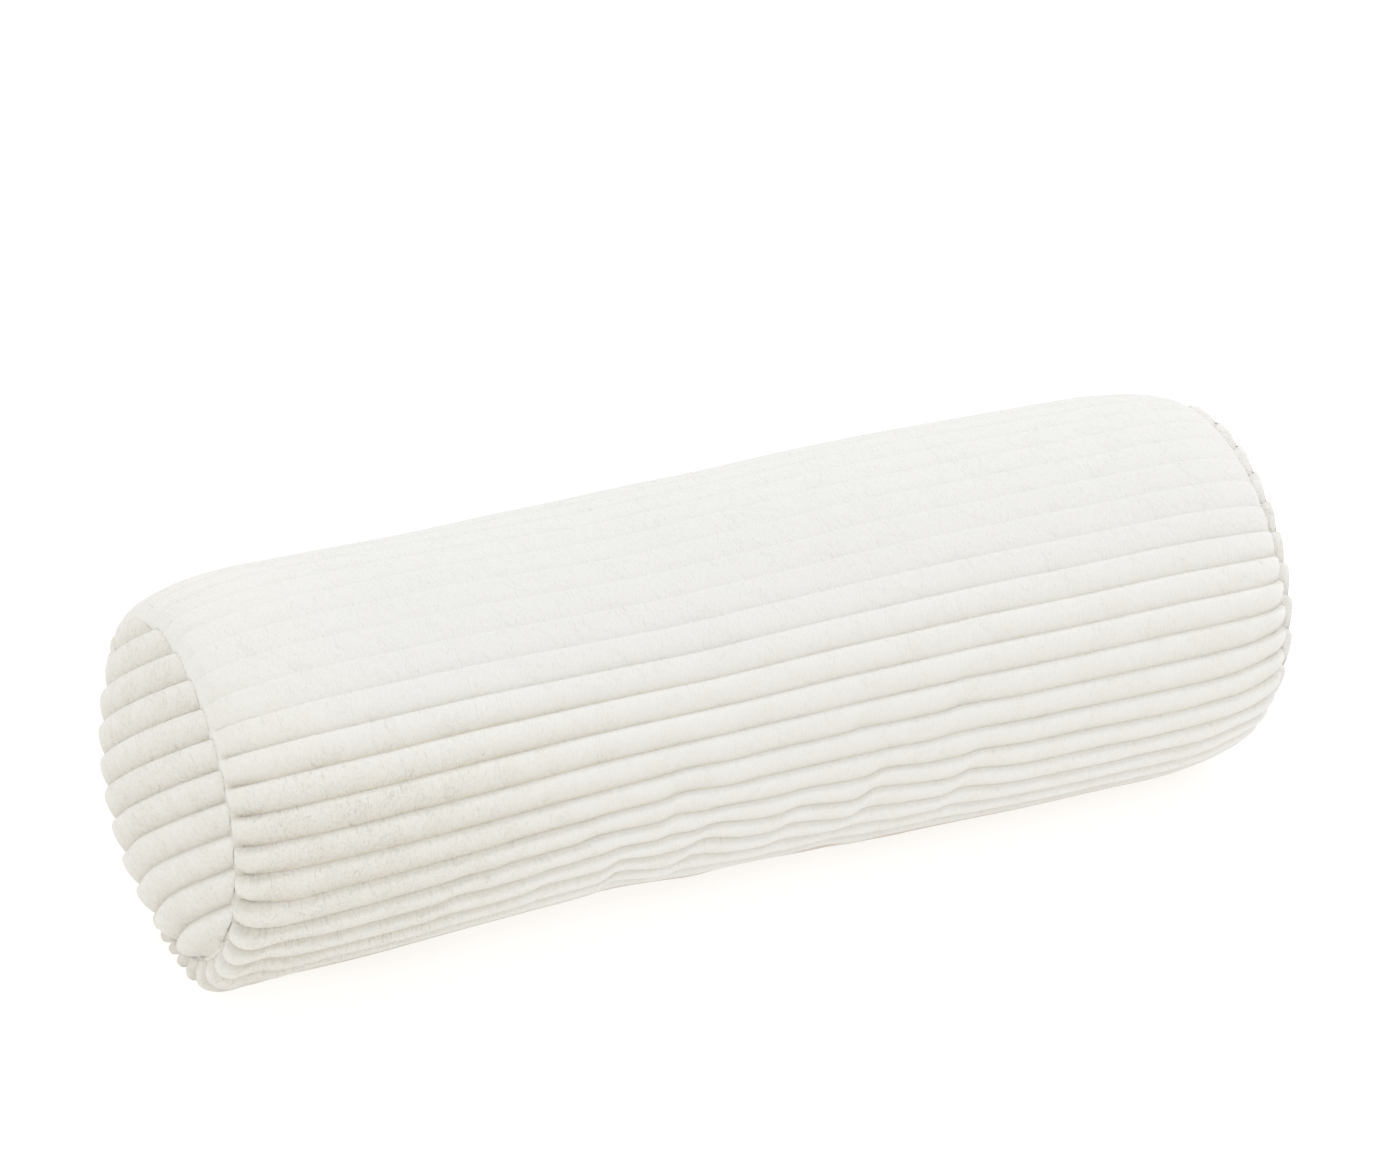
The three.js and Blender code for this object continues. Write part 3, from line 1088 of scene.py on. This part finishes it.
@dataclass
class EndPanel:
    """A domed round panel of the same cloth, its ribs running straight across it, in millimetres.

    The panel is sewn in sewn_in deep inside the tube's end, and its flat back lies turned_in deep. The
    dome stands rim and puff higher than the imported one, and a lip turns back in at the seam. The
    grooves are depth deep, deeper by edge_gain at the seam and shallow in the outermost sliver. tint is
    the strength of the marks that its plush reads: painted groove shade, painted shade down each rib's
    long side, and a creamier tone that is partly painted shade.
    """

    form: RollForm
    ribs: Ribs
    plush: bpy.types.Material
    end: SeamEnd
    ribs_across: float = 11.25
    rib_phase: float = 0.67
    depth: float = 2.5
    sewn_in: float = 1.2
    turned_in: float = 2.7
    steps_along_rib: int = 110
    outermost_row: float = 0.995
    rim: float = 3.0
    lip: float = 0.2
    lip_height: float = 1.8
    lip_share: float = 0.955
    dome_power: float = 0.71
    puff: float = 0.0
    tint: float = 1.0
    edge_gain: float = 0.0
    sliver: float = 0.12
    # The panel's creamier tone, partly painted shade.
    ruffled: float = 0.7
    cream_and_end_shade: float = 0.7
    long_side_shade_gain: float = 0.7
    fill: float = 0.8

    def profile(self, share: Array) -> tuple[Array, Array]:
        """Radius share and height of the dome against the share of the way out to the seam.

        Up to lip_share it is the dome, (1 - s^2)^power high. Beyond it a quarter ellipse turns back
        in to the seam, so that the panel stands a little proud of it.

        Args:
            share: 0 at the panel's middle and 1 at its seam.

        Returns:
            The radius beyond the seam's own as share and extra millimetres, and the height.
        """
        s = np.clip(share / self.lip_share, 0, 1)
        turn = np.clip((share - self.lip_share) / (1 - self.lip_share), 0, 1) * math.pi / 2
        extra = self.lip * np.cos(turn) * s
        height = (self.end.dome + self.puff + self.rim - self.lip_height) * (1 - s**2) ** self.dome_power
        height = height + self.lip_height * (1 - np.sin(turn))
        return s, extra, height

    def skin(self, across: Array, along: Array) -> tuple[Array, Array, Array]:
        """Points of the smooth dome.

        Args:
            across: places across the ribs, -1 to 1.
            along: places along a rib's length, -1 to 1.

        Returns:
            Points, rows by columns by 3, then each one's share of the way to the seam and its angle.
        """
        reach = np.sqrt(np.maximum(1 - across**2, 0)) * along
        turn = math.radians(self.end.rib_turn)
        p = reach * math.cos(turn) - across * math.sin(turn)
        q = reach * math.sin(turn) + across * math.cos(turn)
        share = np.minimum(np.hypot(p, q), 1)
        angle = np.arctan2(q, p)
        seam = np.full(len(angle), self.end.side * self.form.seam_to_seam / 2)
        half_width, crown, sway = self.form.section_at(seam, angle)
        s, extra, height = self.profile(share)
        y = sway + np.cos(angle) * (half_width * s + extra)
        z = self.form.axis_height + np.sin(angle) * (crown * s + extra)
        x = self.end.side * (self.form.seam_to_seam / 2 - self.sewn_in + height)
        return np.stack([x, y, z], axis=-1), share, angle

    def ribbed(self, across: Array, along: Array) -> tuple[Array, Array, Array]:
        """Points of the dome with its ribs, sunk by the grooves.

        Args:
            across: places across the ribs, -1 to 1.
            along: places along a rib's length, -1 to 1.

        Returns:
            Points, rows by columns by 3, then the groove share and the long side's share of each.
        """
        skin, share, angle = self.skin(across, along)
        fall, long_side_shade = self.ribs.fall((across + 1) / 2 * self.ribs_across + self.rib_phase, -1.0)
        outward = grid_normals(skin, wraps=False)
        away = np.stack([np.full_like(angle, self.end.side), np.cos(angle), np.sin(angle)], axis=-1)
        outward = outward * np.sign((outward * away).sum(axis=-1, keepdims=True))
        held = self.ribs.held_at_seam((1 - share) * self.form.axis_height)
        depth = self.depth * (1 + self.edge_gain * share**4)
        depth = depth * smooth_step((1 - np.abs(across)) / self.sliver)
        return skin - (depth * fall * held)[..., None] * outward, fall, long_side_shade

    def faces(self, rows: int, columns: int) -> tuple[Array, Array, Array]:
        """Faces of the closed panel over its grid, two poles, the ring of its back and the back's hub.

        Args:
            rows: rows of the grid.
            columns: columns of the grid.

        Returns:
            Quads, triangles, and the rim's vertices in their order round it.
        """
        grid = np.arange(rows * columns).reshape(rows, columns)
        low, high = rows * columns, rows * columns + 1
        quads = np.stack([grid[:-1, :-1], grid[:-1, 1:], grid[1:, 1:], grid[1:, :-1]], axis=-1).reshape(-1, 4)
        fans = np.concatenate([
            np.stack([np.full(columns - 1, low), grid[0, 1:], grid[0, :-1]], axis=-1),
            np.stack([np.full(columns - 1, high), grid[-1, :-1], grid[-1, 1:]], axis=-1),
        ])
        rim = np.concatenate([[low], grid[:, -1], [high], grid[::-1, 0]])
        start, place = high + 1, np.arange(len(rim))
        beside = (place + 1) % len(rim)
        wall = np.stack([rim, start + place, start + beside, rim[beside]], axis=-1)
        cap = np.stack([start + place, np.full(len(rim), start + len(rim)), start + beside], axis=-1)
        quads, triangles = np.concatenate([quads, wall]), np.concatenate([fans, cap])
        if self.end.side is Side.LEFT:
            quads, triangles = quads[:, ::-1], triangles[:, ::-1]
        return quads, triangles, rim

    def build(self) -> bpy.types.Object:
        """Builds the panel: rows of points along its ribs, then a flat back turned in under the tube's end.

        Returns:
            The mesh piece.
        """
        places = self.ribs.places(math.ceil(self.ribs_across + 1))
        lines = (places - self.rib_phase) / self.ribs_across * 2 - 1
        inner = lines[np.abs(lines) < self.outermost_row]
        t = np.sin(np.linspace(-math.pi / 2, math.pi / 2, self.steps_along_rib + 1))
        across, along = np.meshgrid(inner, t, indexing="ij")
        points, fall, long_side_shade = self.ribbed(across, along)
        poles, _, _ = self.skin(np.array([[-1.0, 1.0]]), np.zeros((1, 2)))
        quads, triangles, rim = self.faces(*across.shape)
        outer = np.concatenate([points.reshape(-1, 3), poles[0]])
        back = outer[rim].copy()
        back[:, 0] = self.end.side * (self.form.seam_to_seam / 2 - self.turned_in)
        hub = np.array([[back[0, 0], back[:, 1].mean(), back[:, 2].mean()]])
        vertices = self.form.placed(np.concatenate([outer, back, hub]))
        piece = mesh_piece(f"ribbed_{self.end.node}", vertices, quads, triangles)
        count = len(vertices)
        unmarked = np.zeros(count - fall.size)
        # Where painted shade goes in the panel's grooves.
        add_attribute(piece, "groove", np.concatenate([fall.ravel() * self.tint, unmarked]))
        # Painted shade down the long side of each of the panel's ribs.
        add_attribute(piece, "long_side_shade", np.concatenate([long_side_shade.ravel() * self.long_side_shade_gain * self.tint, unmarked]))
        add_attribute(piece, "ruffled", np.full(count, self.ruffled))
        # Partly the panel's creamier tone, partly painted shade over the whole panel.
        add_attribute(piece, "cream_and_end_shade", np.full(count, self.cream_and_end_shade * self.tint))
        reach = np.sqrt(1 - across**2) * along
        flat = np.concatenate([np.stack([reach, across], axis=-1).reshape(-1, 2), [[0.0, -1.0], [0.0, 1.0]]])
        add_cloth_map(piece, np.concatenate([flat, flat[rim], [[0.0, 0.0]]]) * self.form.axis_height)
        return dress(piece, self.plush, self.end.node)


def dress(piece: bpy.types.Object, finish: bpy.types.Material, node: str) -> bpy.types.Object:
    """Gives a piece its finish and ties it to the solid that it stands for.

    Args:
        piece: the mesh object.
        finish: its material.
        node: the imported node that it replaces.

    Returns:
        The same piece.
    """
    piece.data.materials.append(finish)
    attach(piece, "root")
    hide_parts(node)
    return piece


# The studio


@dataclass(frozen=True)
class Softbox:
    """A square soft light: its place and side in metres, and its power in watts."""

    name: str
    place: tuple[float, float, float]
    side: float
    power: float


@dataclass
class Studio:
    """Pale floor, soft lights and the camera at the photograph's viewing angle. Sizes in metres."""

    aim: tuple[float, float, float] = (0.0204, 0.0395, 0.0850)
    distance: float = 2.167
    azimuth: float = -25.08
    elevation: float = 26.5
    lens: float = 152.3
    sensor_width: float = 36.0
    clip: tuple[float, float] = (0.05, 50.0)
    floor_half: float = 6.0
    world_strength: float = 1.11
    light_aim: tuple[float, float, float] = (0.0, 0.0, 0.07)
    softboxes: tuple[Softbox, ...] = (
        Softbox("overhead_softbox", (0.0, 0.0, 2.0), 1.5, 0.8),
        Softbox("right_softbox", (1.2, 0.2, 1.6), 1.0, 5.4),
    )

    def build_camera(self) -> bpy.types.Object:
        """Places the camera on its line of sight and makes it the scene's camera.

        Returns:
            The camera object.
        """
        turn, rise = math.radians(self.azimuth), math.radians(self.elevation)
        back = Vector((math.sin(turn) * math.cos(rise), -math.cos(turn) * math.cos(rise), math.sin(rise)))
        data = bpy.data.cameras.new("camera")
        data.lens, data.sensor_width = self.lens, self.sensor_width
        data.clip_start, data.clip_end = self.clip
        camera = bpy.data.objects.new("camera", data)
        camera.location = Vector(self.aim) + back * self.distance
        camera.rotation_mode = "QUATERNION"
        camera.rotation_quaternion = (-back).to_track_quat("-Z", "Y")
        bpy.context.scene.collection.objects.link(camera)
        bpy.context.scene.camera = camera
        return camera

    def build_floor(self) -> bpy.types.Object:
        """Lays the pale floor.

        Returns:
            The floor object.
        """
        half = self.floor_half
        corners = np.array([[-half, -half, 0.0], [half, -half, 0.0], [half, half, 0.0], [-half, half, 0.0]])
        floor = mesh_piece("floor", corners, np.array([[0, 1, 2, 3]]), np.zeros((0, 3), dtype=int))
        floor.data.materials.append(PaleFloor().make())
        return floor

    def build_light(self, softbox: Softbox) -> bpy.types.Object:
        """Hangs one white softbox, turned towards the cushion.

        Args:
            softbox: the light's name, place, side and power.

        Returns:
            The light object.
        """
        data = bpy.data.lights.new(softbox.name, "AREA")
        data.size, data.energy = softbox.side, softbox.power
        light = bpy.data.objects.new(softbox.name, data)
        light.location = softbox.place
        light.rotation_mode = "QUATERNION"
        aim = Vector(self.light_aim) - Vector(softbox.place)
        light.rotation_quaternion = aim.to_track_quat("-Z", "Y")
        bpy.context.scene.collection.objects.link(light)
        return light

    def build_world(self) -> None:
        """Fills the surroundings with an even white light."""
        world = bpy.data.worlds.new("studio_white")
        world.use_nodes = True
        background = world.node_tree.nodes["Background"]
        background.inputs["Color"].default_value = (1.0, 1.0, 1.0, 1.0)
        background.inputs["Strength"].default_value = self.world_strength
        bpy.context.scene.world = world
        bpy.context.scene.view_settings.view_transform = "Standard"

    def build(self) -> None:
        """Builds the camera, floor, world and lights."""
        self.build_camera()
        self.build_floor()
        self.build_world()
        for softbox in self.softboxes:
            self.build_light(softbox)


def main() -> None:
    """Builds the studio and the cushion's pieces in order."""
    logging.basicConfig(level=logging.INFO, format="%(name)s: %(message)s")
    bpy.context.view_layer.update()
    Studio().build()
    form, ribs, plush = RollForm(), Ribs(), RibbedPlush().make()
    tube = RibbedTube(form, ribs, plush, ClothSettling(form))
    left = EndPanel(form, ribs, plush, LEFT_END, puff=3.5, dome_power=0.82, edge_gain=0.5)
    right = EndPanel(
        form, ribs, plush, RIGHT_END,
        depth=1.6, lip=2.0, lip_height=4.5, lip_share=0.93, puff=2.5, tint=0.3,
    )
    for part in (tube, left, right):
        piece = part.build()
        log.info("%s: %d faces", piece.name, len(piece.data.polygons))


if __name__ == "__main__":
    main()
